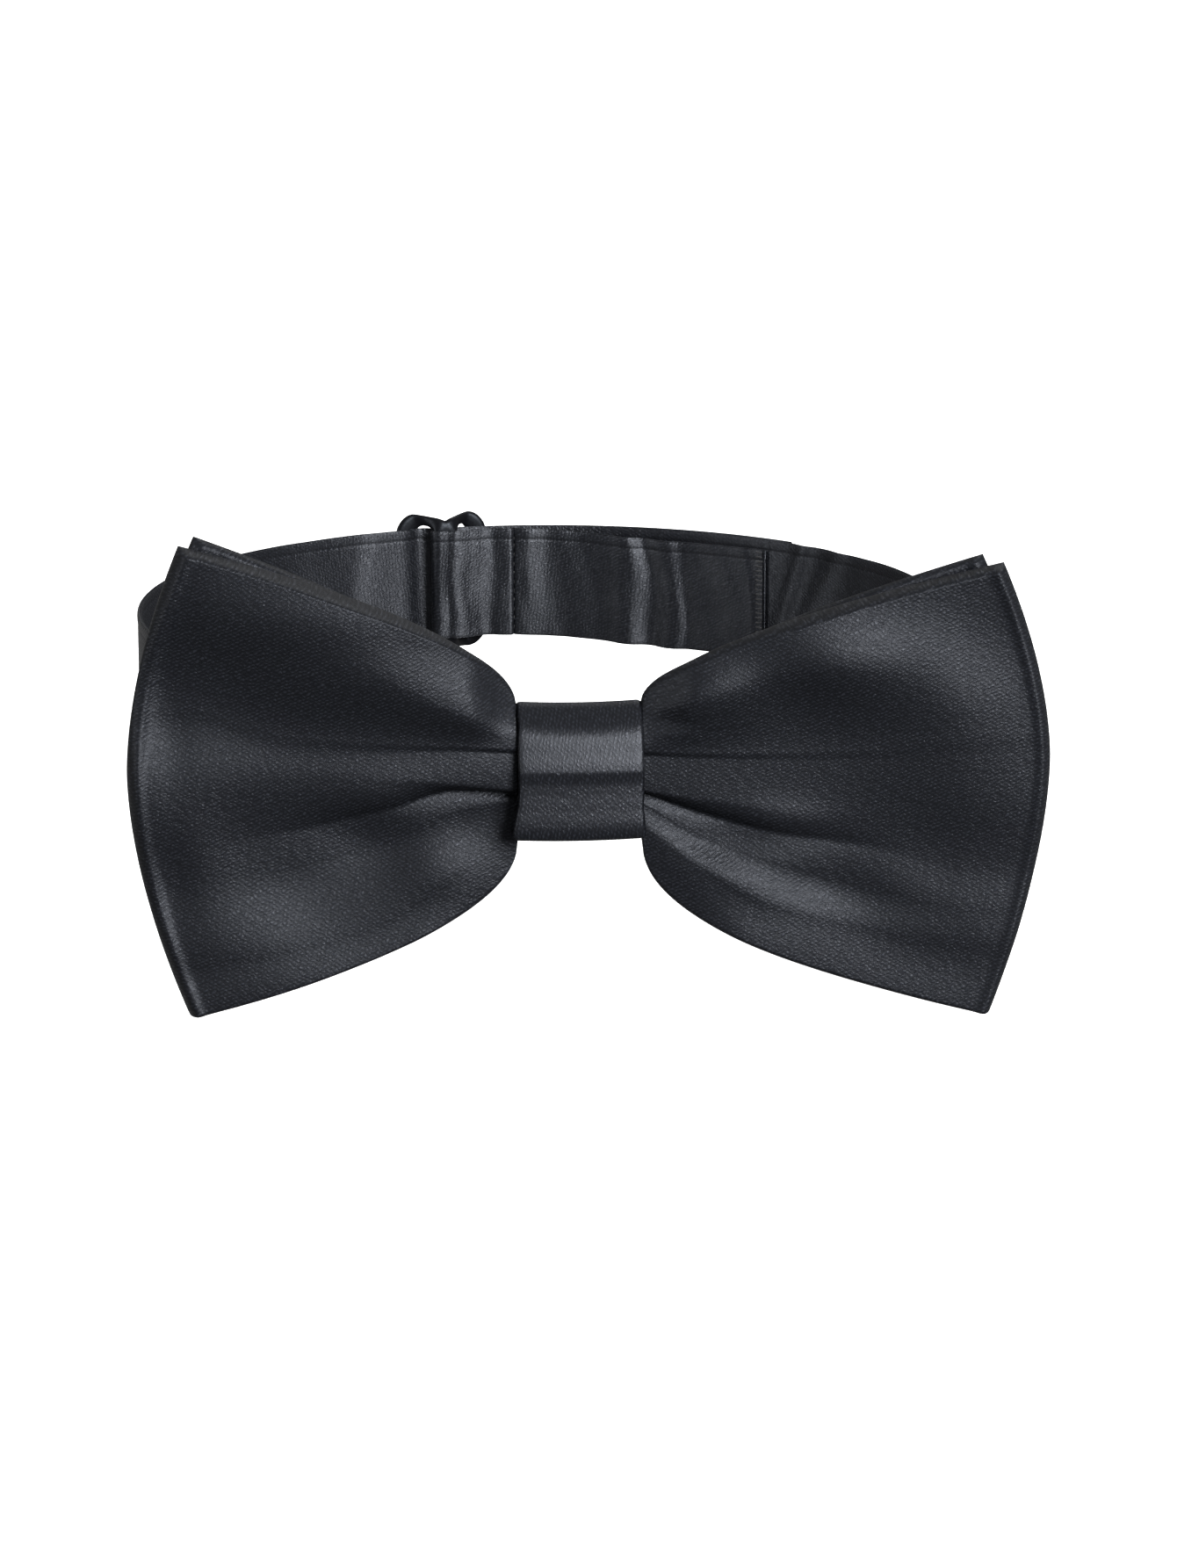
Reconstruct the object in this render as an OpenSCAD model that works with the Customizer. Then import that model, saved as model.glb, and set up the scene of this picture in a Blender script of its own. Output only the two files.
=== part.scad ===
// Pre-tied bow tie: two fabric tiers pinched in a knot band, on a neck strap with a sliding adjuster.
// Millimetres. The origin is the centre of the neck loop at half the strap's width.
// +Z is up and the bow faces -Y. A bearing is an angle seen from above, from +Y (the nape) towards +X.

/* [Neck strap] */
// Radius of the strap's middle layer round the neck
loop_r = 56.7; // [56:0.1:58]
// Width of the strap
strap_w = 16.5; // [15:0.1:16.6]
// Thickness of the strap
strap_t = 0.6; // [0.55:0.01:0.62]
// Gap between two layers of the strap that slide on each other
layer_gap = 0.2; // [0.15:0.01:0.22]
// Thickness of the strap's fabric
strap_wall = 0.18; // [0.1:0.01:0.2]
// Bearing of the long strap's free end
tail_end = 44; // [42:1:60]
// Bearing at which the short strap begins, under the flap
short_start = 13.2; // [13:0.1:15]

/* [Slide] */
// Bearing of the slide's centre bar
bar_bearing = -11.6; // [-12:0.1:-11]
// Height of the slide
slide_h = 20; // [19.6:0.1:21]
// Width of one lobe of the slide
lobe_w = 6.6; // [6.2:0.1:7]
// Sideways offset of each lobe
lobe_offset = 2.5; // [2.3:0.1:2.7]
// Radius of the lobes' corners
lobe_round = 3; // [2:0.1:3.1]
// Height of the slot that the strap runs through
slot_h = 17.5; // [17.2:0.1:17.8]
// Width of the slide's outer opening
slot_w = 9; // [8:0.1:9.4]
// Width of the centre bar
bar_w = 1.8; // [1.4:0.1:1.8]
// Radial thickness of the bars
bar_t = 1; // [0.8:0.05:1]
// Bearing at which the flap sewn round the bar ends
flap_end = 40.2; // [38:0.1:41]

/* [Bow] */
// Half of the bow's width
wing_reach = 60.6; // [56:0.1:63]
// How far the wing tips fall short of the bow's middle
tip_setback = 8; // [5:0.1:10]
// Height of the front tier's upper tips
wing_top = 30.3; // [28:0.1:33]
// Depth of the front tier's lower tips
wing_bottom = 33.4; // [30:0.1:35]
// Half of the tiers' height inside the knot
waist_h = 8; // [7.5:0.1:8.1]
// Half of the front tier's thickness in the wings
front_puff = 2.2; // [1.6:0.1:2.3]
// Half of the rear tier's thickness in the wings
rear_puff = 1.5; // [1:0.1:1.6]
// Thickness of the bow's fabric cover
cover_wall = 0.32; // [0.25:0.01:0.35]

/* [Knot] */
// Width of the knot band
knot_w = 16.8; // [15:0.1:17]
// Height of the knot
knot_h = 18.8; // [18.6:0.1:19]
// Depth of the knot, front to back
knot_d = 6.5; // [6.4:0.1:6.7]
// Radius of the knot's corners
knot_round = 2.2; // [1.5:0.1:2.6]
// Thickness of the knot band
knot_wall = 0.6; // [0.5:0.05:0.65]
// Half of the angle that the strap keeper spans
keeper_half = 7; // [5:0.5:8]

/* [Hidden] */
$fn = 48;

satin = [0.09, 0.095, 0.11];
lining_grey = [0.35, 0.35, 0.36];
thread = [0.16, 0.16, 0.18];
plastic = [0.05, 0.05, 0.055];

// Strap layers, as centre radii from the neck outwards
flap_r = loop_r - strap_t - layer_gap;
run_r = loop_r + strap_t + layer_gap;
strap_half = strap_t / 2;
front_bearing = 180;
spiral_start = -155;
spiral_end = -70;
strap_step = 2.5;
interlining_play = 0.03;
// The strap's hollow stops this far from its ends and edges, and its interlining a little further in
strap_end_wall = 0.3;
strap_edge_wall = 0.4;
interlining_end = 0.4;
interlining_edge = 0.5;

// Slide, as distances from the neck's axis
bar_outer = loop_r - strap_half - layer_gap;
bar_inner = bar_outer - bar_t;
frame_inner = run_r + strap_half + layer_gap;
frame_outer = frame_inner + bar_t;
bar_mid = bar_outer - bar_t / 2;
fold_turn = loop_r - bar_mid;
slot_round = 1.5;
far_layer_end = 0.6;
flap_settled = -3;
crown_width = 1.5;

// Stitches: thickness of the thread, height between two threads of each row, and where the rows lie
thread_t = 0.35;
row_pitch = 1.7;
tack_bearing = -0.8;
tack_pitch = 1.4;
overlock_pitch = 0.95;
overlock_from_end = 0.8;
hem_from_end = 3;

// Knot and keeper, as distances from the neck's axis
keeper_t = 0.45;
keeper_clear = 0.35;
keeper_inner = loop_r - strap_half - keeper_clear - keeper_t;
keeper_outer = loop_r + strap_half + keeper_clear + keeper_t;
keeper_edge = strap_w / 2 + keeper_clear;
knot_back = keeper_outer + 0.1;
knot_front = knot_back + knot_d;
lining_t = 0.35;
lining_play = 0.05;

// Middle planes and half thicknesses of the tiers, inside the knot and in the wings
front_waist_y = -(knot_back + 4);
front_wing_y = front_waist_y - 0.8;
rear_waist_y = -(knot_back + 2);
rear_wing_y = -(knot_back + 0.7);
front_waist_half = 0.9;
rear_waist_half = 0.65;
edge_half = 0.5;
rear_shrink = 1.4;
rear_rise = 0.6;
tip_fall = 4;
rise_share = 0.35;
cover_edge = 1;
lining_edge = 1.3;
lining_face = cover_wall + 0.08;
waist_share = 0.142;
flare_power = 0.57;
edge_power = 1.75;
stations = [0, 0.142, 0.175, 0.22, 0.3, 0.4, 0.52, 0.65, 0.78, 0.9, 0.97, 1];
ring_n = 16;

// A point on the loop
function polar(bearing, r) = [r * sin(bearing), r * cos(bearing)];
function lerp(a, b, u) = a + (b - a) * u;
function clamp01(u) = min(1, max(0, u));
function smooth(u) = clamp01(u) * clamp01(u) * (3 - 2 * clamp01(u));
function reversed(list) = [for (i = [len(list) - 1 : -1 : 0]) list[i]];
function run_radius(b) = lerp(loop_r, run_r, smooth((b - spiral_start) / (spiral_end - spiral_start)));

// The unit normal of a path at point i, to the left of its direction
function path_normal(p, i) =
    let (a = p[max(i - 1, 0)], b = p[min(i + 1, len(p) - 1)], d = b - a)
    [-d[1], d[0]] / norm(d);

// The outline of a ribbon of thickness t that follows a path
function ribbon(p, t) = concat(
    [for (i = [0 : len(p) - 1]) p[i] + path_normal(p, i) * t / 2],
    reversed([for (i = [0 : len(p) - 1]) p[i] - path_normal(p, i) * t / 2]));

// Equal steps from bearing a to bearing b
function bearings(a, b) =
    let (n = ceil(abs(b - a) / strap_step))
    [for (i = [0 : n]) lerp(a, b, i / n)];

function long_path(inset) =
    [for (b = bearings(-front_bearing + inset, tail_end - inset)) polar(b, run_radius(b))];
function short_path(inset) =
    [for (b = bearings(short_start + inset, front_bearing - inset)) polar(b, loop_r)];

module strip(path, t, w) {
    linear_extrude(height = w, center = true) polygon(ribbon(path, t));
}

// Places a child that is drawn at the nape onto a bearing
module at_bearing(b) {
    rotate([0, 0, -b]) children();
}

// An outline in the XZ plane, extruded from one distance to another along Y
module plate(near, far) {
    translate([0, far, 0]) rotate([90, 0, 0]) linear_extrude(height = far - near) children();
}

module rounded(w, h, r) {
    square([w - 2 * r, h], center = true);
    square([w, h - 2 * r], center = true);
    for (x = [-1, 1], y = [-1, 1]) {
        translate([x * (w / 2 - r), y * (h / 2 - r)]) circle(r);
    }
}

// One stitch at a bearing: along is its tangential size, tall its height
module stitch(b, z, near, far, along, tall) {
    at_bearing(b) translate([-along / 2, near, z - tall / 2]) cube([along, far - near, tall]);
}

module left_strap() {
    color(satin) difference() {
        strip(long_path(0), strap_t, strap_w);
        strip(long_path(strap_end_wall), strap_t - 2 * strap_wall, strap_w - 2 * strap_edge_wall);
    }
}

module left_interlining() {
    color(lining_grey)
        strip(long_path(interlining_end), strap_t - 2 * (strap_wall + interlining_play),
            strap_w - 2 * interlining_edge);
}

module right_strap() {
    color(satin) difference() {
        strip(short_path(0), strap_t, strap_w);
        strip(short_path(strap_end_wall), strap_t - 2 * strap_wall, strap_w - 2 * strap_edge_wall);
    }
}

module right_interlining() {
    color(lining_grey)
        strip(short_path(interlining_end), strap_t - 2 * (strap_wall + interlining_play),
            strap_w - 2 * interlining_edge);
}

// Threads across the seam where the two straps meet, behind the knot
module strap_seam_stitches() {
    proud = 0.1;
    length = 2.4;
    color(thread) for (i = [-4 : 4]) {
        stitch(front_bearing, i * row_pitch, loop_r, loop_r + strap_half + proud, length, thread_t);
    }
}

// A row of stitches that closes the folded end of the tail
module tail_hem_stitches() {
    face = run_r + strap_half;
    sunk = 0.15;
    proud = 0.12;
    length = 1.2;
    color(thread) for (i = [-4 : 4]) {
        stitch(tail_end - hem_from_end, i * row_pitch, face - sunk, face + proud, thread_t, length);
    }
}

module slide_outline() {
    for (side = [-1, 1]) {
        translate([side * lobe_offset, 0]) rounded(lobe_w, slide_h, lobe_round);
    }
}

// A figure-of-eight frame: two outer bars behind the strap and a centre bar in front of it
module slide_buckle() {
    color(plastic) at_bearing(bar_bearing) union() {
        plate(frame_inner, frame_outer) difference() {
            slide_outline();
            rounded(slot_w, slot_h, slot_round);
        }
        plate(bar_inner, frame_inner) difference() {
            slide_outline();
            square([4 * lobe_w, slot_h], center = true);
        }
        plate(bar_inner, bar_outer) square([bar_w, slot_h + 1], center = true);
    }
}

// The far layer, the turn round the centre bar and the flap
function fold_path() =
    let (turn_bearing = bar_bearing - bar_w / 2 / loop_r * 180 / PI,
         turn = polar(turn_bearing, bar_mid),
         out = polar(turn_bearing, 1),
         back = [-out[1], out[0]])
    concat(
        [for (b = bearings(far_layer_end, bar_bearing)) polar(b, loop_r)],
        [for (a = [0 : 15 : 180]) turn + fold_turn * (cos(a) * out + sin(a) * back)],
        [for (b = bearings(bar_bearing, flap_end))
            polar(b, lerp(bar_mid - fold_turn, flap_r,
                smooth((b - bar_bearing - crown_width) / (flap_settled - bar_bearing - crown_width))))]);

module folded_strap_end() {
    color(satin) strip(fold_path(), strap_t, strap_w);
}

// The row of stitches beside the bar, through the flap and the far layer
module bar_tack() {
    near = flap_r - strap_half - 0.12;
    far = loop_r + strap_half - 0.05;
    width = 0.4;
    length = 1;
    color(thread) for (i = [-5 : 5]) {
        stitch(tack_bearing, i * tack_pitch, near, far, width, length);
    }
}

// Threads over the raw end of the flap
module end_overlock() {
    face = flap_r - strap_half;
    proud = 0.12;
    sunk = 0.15;
    length = 1.3;
    color(thread) for (i = [-8 : 8]) {
        stitch(flap_end - overlock_from_end, i * overlock_pitch, face - proud, face + sunk, length, thread_t);
    }
}

// Half height of a tier at a share s of its reach
function flare(s, tip) =
    let (u = clamp01((abs(s) - waist_share) / (1 - waist_share)))
    waist_h + (tip - waist_h) * pow(u, flare_power);

// Half thickness of a tier at a share s of its reach
function puff(s, waist, wing) =
    let (rise = smooth((abs(s) - waist_share) / 0.3), fall = smooth((abs(s) - 0.75) / 0.25))
    lerp(lerp(waist, wing, rise), edge_half, fall);

// One ring of a tier's skin. in_edge and in_face pull the skin inwards.
function tier_ring(s, reach, top, bottom, waist_y, wing_y, waist_d, wing_d, in_edge, in_face) =
    let (y = lerp(waist_y, wing_y, smooth((abs(s) - waist_share) / rise_share)),
         d = puff(s, waist_d, wing_d) - in_face,
         x = s * (reach - in_edge))
    [for (j = [0 : ring_n - 1])
        let (a = 360 * j / ring_n,
             t = cos(a),
             h = flare(s, t > 0 ? top : bottom) - in_edge,
             back = tip_setback * pow(abs(t), edge_power) * pow(abs(s), tip_fall) * sign(s))
        [x - back, y - d * sin(a) * sqrt(abs(sin(a))) , t * h]];

module tier(reach, top, bottom, waist_y, wing_y, waist_d, wing_d, in_edge, in_face) {
    shares = concat([for (s = reversed(stations)) if (s > 0) -s], stations);
    rings = len(shares);
    points = [for (s = shares)
        each tier_ring(s, reach, top, bottom, waist_y, wing_y, waist_d, wing_d, in_edge, in_face)];
    sides = [for (i = [0 : rings - 2], j = [0 : ring_n - 1])
        let (k = (j + 1) % ring_n)
        each [[i * ring_n + j, (i + 1) * ring_n + j, (i + 1) * ring_n + k],
              [i * ring_n + j, (i + 1) * ring_n + k, i * ring_n + k]]];
    last = (rings - 1) * ring_n;
    caps = [for (j = [0 : ring_n / 2 - 1])
        let (a = j, b = j + 1, c = (ring_n - j) % ring_n, e = ring_n - j - 1)
        each concat(
            j == 0 ? [[a, b, e]] : j == ring_n / 2 - 1 ? [[a, b, c]] : [[a, b, e], [a, e, c]],
            j == 0 ? [[last + b, last + a, last + e]]
                : j == ring_n / 2 - 1 ? [[last + b, last + a, last + c]]
                : [[last + b, last + a, last + e], [last + e, last + a, last + c]])];
    polyhedron(points = points, faces = concat(sides, caps));
}

module front_tier(in_edge, in_face) {
    tier(wing_reach, wing_top, wing_bottom, front_waist_y, front_wing_y,
        front_waist_half, front_puff, in_edge, in_face);
}

module rear_tier(in_edge, in_face) {
    tier(wing_reach - rear_shrink, wing_top + rear_rise, wing_bottom - rear_shrink, rear_waist_y, rear_wing_y,
        rear_waist_half, rear_puff, in_edge, in_face);
}

module front_bow() {
    color(satin) difference() {
        front_tier(0, 0);
        front_tier(cover_edge, cover_wall);
    }
}

module front_interlining() {
    color(lining_grey) front_tier(lining_edge, lining_face);
}

module rear_bow() {
    color(satin) difference() {
        rear_tier(0, 0);
        rear_tier(cover_edge, cover_wall);
    }
}

module rear_interlining() {
    color(lining_grey) rear_tier(lining_edge, lining_face);
}

// Two threads that hold the tiers together inside the knot
module centre_tack() {
    proud = 0.1;
    near = rear_waist_y + rear_waist_half + proud;
    far = front_waist_y - front_waist_half - proud;
    color(thread) for (z = [-3, 3]) {
        translate([0, near, z]) rotate([90, 0, 0]) cylinder(r = 0.35, h = near - far);
    }
}

// A tube along X, round the middle of the bow
module knot_tube(inset, wall) {
    translate([-knot_w / 2, -(knot_back + knot_d / 2), 0]) rotate([90, 0, 90])
        linear_extrude(height = knot_w) difference() {
            rounded(knot_d - 2 * inset, knot_h - 2 * inset, knot_round - inset);
            rounded(knot_d - 2 * (inset + wall), knot_h - 2 * (inset + wall), knot_round - inset - wall);
        }
}

module knot_band() {
    color(satin) knot_tube(0, knot_wall);
}

module knot_lining() {
    color(lining_grey) knot_tube(knot_wall + lining_play, lining_t);
}

// Threads that close the knot band down its back
module knot_stitches() {
    size = [2, 0.45, 0.34];
    sunk = 0.4;
    color(thread) for (i = [-4 : 4]) {
        translate([-size[0] / 2, -knot_back - sunk, i * row_pitch - size[2] / 2]) cube(size);
    }
}

// A fabric loop on the knot's back, in which the strap slides
module strap_keeper() {
    color(satin) rotate([0, 0, -90 - keeper_half])
        rotate_extrude(angle = 2 * keeper_half) translate([(keeper_inner + keeper_outer) / 2, 0])
            difference() {
                square([keeper_outer - keeper_inner, 2 * (keeper_edge + keeper_t)], center = true);
                square([keeper_outer - keeper_inner - 2 * keeper_t, 2 * keeper_edge], center = true);
            }
}

// Threads that sew the keeper to the knot
module keeper_stitches() {
    length = 0.6;
    color(thread) for (x = [-3.2, 3.2], z = [-7, -3.5, 3.5, 7]) {
        translate([x, -knot_back - length / 2, z]) rotate([-90, 0, 0]) cylinder(r = 0.3, h = length);
    }
}

left_strap();
left_interlining();
right_strap();
right_interlining();
strap_seam_stitches();
tail_hem_stitches();
slide_buckle();
folded_strap_end();
bar_tack();
end_overlock();
front_bow();
front_interlining();
rear_bow();
rear_interlining();
centre_tack();
knot_band();
knot_lining();
knot_stitches();
strap_keeper();
keeper_stitches();
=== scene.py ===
"""Looks for the pre-tied bow tie: satin tiers, knot, neck strap and slide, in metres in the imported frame."""

import math

import bmesh
import bpy
import numpy as np
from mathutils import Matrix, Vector


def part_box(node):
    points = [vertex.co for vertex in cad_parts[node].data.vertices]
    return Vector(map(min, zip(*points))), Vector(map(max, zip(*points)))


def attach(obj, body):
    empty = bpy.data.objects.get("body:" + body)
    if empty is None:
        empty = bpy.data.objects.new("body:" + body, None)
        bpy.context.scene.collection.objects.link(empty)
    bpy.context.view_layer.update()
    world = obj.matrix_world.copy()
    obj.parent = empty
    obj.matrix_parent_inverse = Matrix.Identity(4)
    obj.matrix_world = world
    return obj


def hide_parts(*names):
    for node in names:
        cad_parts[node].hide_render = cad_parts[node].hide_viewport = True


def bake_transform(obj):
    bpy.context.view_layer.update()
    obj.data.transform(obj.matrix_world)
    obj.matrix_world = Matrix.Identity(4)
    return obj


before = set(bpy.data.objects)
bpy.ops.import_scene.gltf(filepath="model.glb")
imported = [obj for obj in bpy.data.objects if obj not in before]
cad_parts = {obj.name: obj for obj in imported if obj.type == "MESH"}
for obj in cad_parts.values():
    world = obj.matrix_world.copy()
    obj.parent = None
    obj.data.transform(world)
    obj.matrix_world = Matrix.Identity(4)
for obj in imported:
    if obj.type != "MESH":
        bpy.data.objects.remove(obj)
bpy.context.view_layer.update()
MM = 0.001

# ---------------------------------------------------------------- sizes from the frame, in millimetres


def node_box(node):
    """The lowest and highest corner of a CAD node, in millimetres."""
    low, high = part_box(node)
    return np.array(low) / MM, np.array(high) / MM


# the strap's width and thickness, the radius of its loop's middle, and the step from one layer to the next
STRAP_LOW, STRAP_HIGH = node_box("right_strap")
STRAP_W = STRAP_HIGH[2] - STRAP_LOW[2]
STRAP_T = 0.6
HALF_T = STRAP_T / 2
LOOP_R = -STRAP_LOW[1] - HALF_T
LAYER = STRAP_T + 0.2

# the flap lies inside the loop, and the run from the slide to the tail outside it
FLAP_R = LOOP_R - LAYER
RUN_R = LOOP_R + LAYER

# the knot's front and back, as distances before the middle of the neck, and its width
KNOT_LOW, KNOT_HIGH = node_box("knot_band")
KNOT_FRONT = -KNOT_LOW[1]
KNOT_BACK = -KNOT_HIGH[1]
KNOT_W = KNOT_HIGH[0] - KNOT_LOW[0]

# bearings in degrees, from the nape towards +X
BAR_BEARING = -11.6
TACK_BEARING = -0.8
FLAP_END = 40.2
TAIL_END = 44.0

# ---------------------------------------------------------------- small helpers

WELD_GAP = 0.0005


def smooth(t):
    """0 up to t = 0, 1 from t = 1, and a soft step between."""
    t = np.clip(t, 0, 1)
    return t * t * (3 - 2 * t)


def curve(xs, ys, x):
    """A smooth curve through points, with no overshoot (monotone cubic)."""
    xs, ys, x = np.array(xs, float), np.array(ys, float), np.asarray(x, float)
    step, rise = np.diff(xs), np.diff(ys) / np.diff(xs)
    slope = np.concatenate([[rise[0]], np.zeros(len(xs) - 2), [rise[-1]]])
    same = rise[:-1] * rise[1:] > 0
    slope[1:-1][same] = 2 * rise[:-1][same] * rise[1:][same] / (rise[:-1] + rise[1:])[same]
    k = np.clip(np.searchsorted(xs, x) - 1, 0, len(xs) - 2)
    t = np.clip((x - xs[k]) / step[k], 0, 1)
    a, b = 2 * t**3 - 3 * t**2 + 1, t**3 - 2 * t**2 + t
    return a * ys[k] + b * step[k] * slope[k] + (1 - a) * ys[k + 1] + (t**3 - t**2) * step[k] * slope[k + 1]


def bump(x, centre, width):
    """A soft bump of height 1."""
    return np.exp(-(((x - centre) / width) ** 2))


def crowded(count, share):
    """count places from -1 to 1, closer together towards both ends."""
    even = np.linspace(-1, 1, count)
    return np.sin(even * math.pi / 2 * share) / math.sin(math.pi / 2 * share)


def rim(distance, radius):
    """A rounded edge: 0 at the edge and 1 at the radius and beyond."""
    t = np.clip(distance / radius, 0, 1)
    return np.sqrt(1 - (1 - t) ** 2)


def rounded_square(a, bend):
    """Two arrays of places from -1 to 1, at the angles a round a square. A small bend makes sharp corners."""
    return [np.sign(f) * np.abs(f) ** bend for f in (np.cos(a), np.sin(a))]


def run_along(points):
    """How far each point lies along the line of points."""
    return np.concatenate([[0], np.cumsum(np.linalg.norm(np.diff(points, axis=0), axis=1))])


def polar(bearing, r):
    """The point at a bearing from the nape towards +X, at a distance r from the middle of the neck."""
    a = np.radians(bearing)
    return np.stack([r * np.sin(a), r * np.cos(a)], axis=-1)


def mesh_object(name, points, faces, material, uv=None):
    """A smooth-shaded mesh from points in millimetres. uv is one pair for each point, in millimetres."""
    mesh = bpy.data.meshes.new(name)
    vertices = [tuple(p) for p in np.asarray(points, float) * MM]
    mesh.from_pydata(vertices, [], [tuple(int(i) for i in f) for f in faces])
    mesh.validate()
    mesh.polygons.foreach_set("use_smooth", [True] * len(mesh.polygons))
    if uv is not None:
        layer = mesh.uv_layers.new(name="weave")
        corner = np.zeros(len(mesh.loops), np.int32)
        mesh.loops.foreach_get("vertex_index", corner)
        layer.data.foreach_set("uv", np.asarray(uv, np.float32)[corner].ravel())
    mesh.materials.append(material)
    obj = bpy.data.objects.new(name, mesh)
    bpy.context.scene.collection.objects.link(obj)
    return obj


def grid_faces(rows, cols, closed=False, flip=False, start=0):
    """Quads of a grid of points. closed joins the last column to the first, and flip turns the quads over."""
    i, j = np.meshgrid(np.arange(rows - 1), np.arange(cols if closed else cols - 1), indexing="ij")
    k = (j + 1) % cols
    quads = np.stack([i * cols + j, i * cols + k, (i + 1) * cols + k, (i + 1) * cols + j], -1).reshape(-1, 4)
    return (quads[:, ::-1] if flip else quads) + start


def weld(obj):
    """Joins points that lie together, so the skin is closed, and turns its faces outwards."""
    mesh = bmesh.new()
    mesh.from_mesh(obj.data)
    bmesh.ops.remove_doubles(mesh, verts=mesh.verts, dist=WELD_GAP * MM)
    bmesh.ops.recalc_face_normals(mesh, faces=mesh.faces)
    mesh.to_mesh(obj.data)
    mesh.free()


# ---------------------------------------------------------------- materials


class Nodes:
    """Short calls for making and linking shader nodes."""

    def __init__(self, name):
        self.material = bpy.data.materials.new(name)
        self.material.use_nodes = True
        self.tree = self.material.node_tree
        self.shader = self.tree.nodes["Principled BSDF"]

    def new(self, kind, **values):
        node = self.tree.nodes.new(kind)
        for key, value in values.items():
            setattr(node, key, value)
        return node

    def put(self, value, socket):
        if isinstance(value, bpy.types.NodeSocket):
            self.tree.links.new(value, socket)
        else:
            socket.default_value = value

    def math(self, operation, a, b=0.0):
        node = self.new("ShaderNodeMath", operation=operation)
        self.put(a, node.inputs[0])
        self.put(b, node.inputs[1])
        return node.outputs[0]

    def noise(self, vector, scale, detail=2.0, rough=0.5):
        node = self.new("ShaderNodeTexNoise")
        self.put(vector, node.inputs["Vector"])
        self.put(scale, node.inputs["Scale"])
        self.put(detail, node.inputs["Detail"])
        self.put(rough, node.inputs["Roughness"])
        return node.outputs["Fac"]

    def ramp(self, value, low, high, black, white):
        """value from low to high becomes black to white."""
        node = self.new("ShaderNodeMapRange")
        for k, v in enumerate((value, low, high, black, white)):
            self.put(v, node.inputs[k])
        return node.outputs[0]

    def mix(self, share, a, b):
        """Colour a where share is 0 and colour b where it is 1."""
        node = self.new("ShaderNodeMix", data_type="RGBA")
        self.put(share, node.inputs[0])
        self.put(a, node.inputs[6])
        self.put(b, node.inputs[7])
        return node.outputs[2]

    def bump(self, height, strength, distance):
        """Small relief in the surface, distance millimetres high for a height of 1."""
        node = self.new("ShaderNodeBump")
        node.inputs["Strength"].default_value = strength
        node.inputs["Distance"].default_value = distance * MM
        self.put(height, node.inputs["Height"])
        self.put(node.outputs[0], self.shader.inputs["Normal"])


def satin(name, pitch, lean, relief, roughness, stretch, turned, shine):
    """Black satin, with ribs that short floats cross, and uneven yarns, with glints painted into its colour.

    The ribs are pitch millimetres apart and lean by lean degrees from the u direction. relief is their
    height in millimetres. stretch draws the highlights out along u, or across it where turned is a quarter.
    """
    n = Nodes(name)
    uv = n.new("ShaderNodeUVMap", uv_map="weave").outputs[0]
    turn = n.new("ShaderNodeMapping", vector_type="POINT")
    n.put(uv, turn.inputs["Vector"])
    turn.inputs["Rotation"].default_value = (0, 0, math.radians(lean))
    split = n.new("ShaderNodeSeparateXYZ")
    n.put(turn.outputs[0], split.inputs[0])

    # the yarns wander from straight lines
    wobble = n.math("MULTIPLY", n.noise(uv, 0.9, 3.0), 1.6 * pitch)
    along = n.math("ADD", split.outputs[0], wobble)
    across = n.math("ADD", split.outputs[1], wobble)

    # a streak is a yarn whose painted glints are brighter or fainter, and whose relief is higher or lower, for
    # a few ribs
    yarn = n.new("ShaderNodeCombineXYZ")
    n.put(n.math("MULTIPLY", along, 0.55 / pitch), yarn.inputs[0])
    n.put(n.math("MULTIPLY", across, 1.5 / pitch), yarn.inputs[1])
    streak = n.noise(yarn.outputs[0], 1.0, 3.0, 0.7)

    # ribs crossed by slanting floats
    turns = 2 * math.pi / pitch
    ribs = n.math("SINE", n.math("MULTIPLY", across, turns))
    slant = n.math("ADD", n.math("MULTIPLY", along, 0.75), n.math("MULTIPLY", across, 0.5))
    floats = n.math("SINE", n.math("MULTIPLY", slant, turns))
    cells = n.math("MULTIPLY", n.ramp(ribs, -0.6, 1.0, 0.2, 1.0), n.ramp(floats, -0.9, 1.0, 0.3, 1.0))
    # painted glints: where a rib, a float and a bright yarn meet, the colour is lightened to stand in for
    # sparkles of light, and the roughness is lower there too
    painted_glint = n.math("MULTIPLY", cells, n.ramp(streak, 0.36, 0.66, 0.1, 1.7))

    shader = n.shader.inputs
    # the base colour goes from black to the lighter glint colour, a painted highlight
    n.put(n.mix(n.ramp(painted_glint, 0.1, 1.2, 0.0, 1.0), BLACK, PAINTED_GLINT), shader["Base Color"])
    n.put(n.ramp(painted_glint, 0.0, 1.2, roughness + 0.06, roughness - 0.08), shader["Roughness"])
    shader["Anisotropic"].default_value = stretch
    shader["Anisotropic Rotation"].default_value = turned
    n.put(n.new("ShaderNodeTangent", direction_type="UV_MAP", uv_map="weave").outputs[0], shader["Tangent"])
    shader["Specular IOR Level"].default_value = shine
    shader["Specular Tint"].default_value = COOL_SHINE
    height = n.math("ADD", n.math("MULTIPLY", cells, 0.8), n.math("MULTIPLY", streak, 2.6))
    n.bump(height, 1.0, relief)
    return n.material


def moulded_plastic(name):
    """Black plastic with a fine grain, a little uneven in colour."""
    n = Nodes(name)
    place = n.new("ShaderNodeTexCoord").outputs["Object"]
    grain = n.noise(place, 4000.0, 3.0, 0.6)
    patch = n.noise(place, 400.0, 2.0)
    shader = n.shader.inputs
    n.put(n.mix(patch, (0.0015, 0.0015, 0.002, 1), (0.004, 0.004, 0.005, 1)), shader["Base Color"])
    n.put(n.ramp(grain, 0.2, 0.8, 0.3, 0.45), shader["Roughness"])
    shader["Specular IOR Level"].default_value = 0.14
    shader["Specular Tint"].default_value = (0.8, 0.88, 1.0, 1)
    n.bump(grain, 0.2, 0.02)
    return n.material


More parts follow.
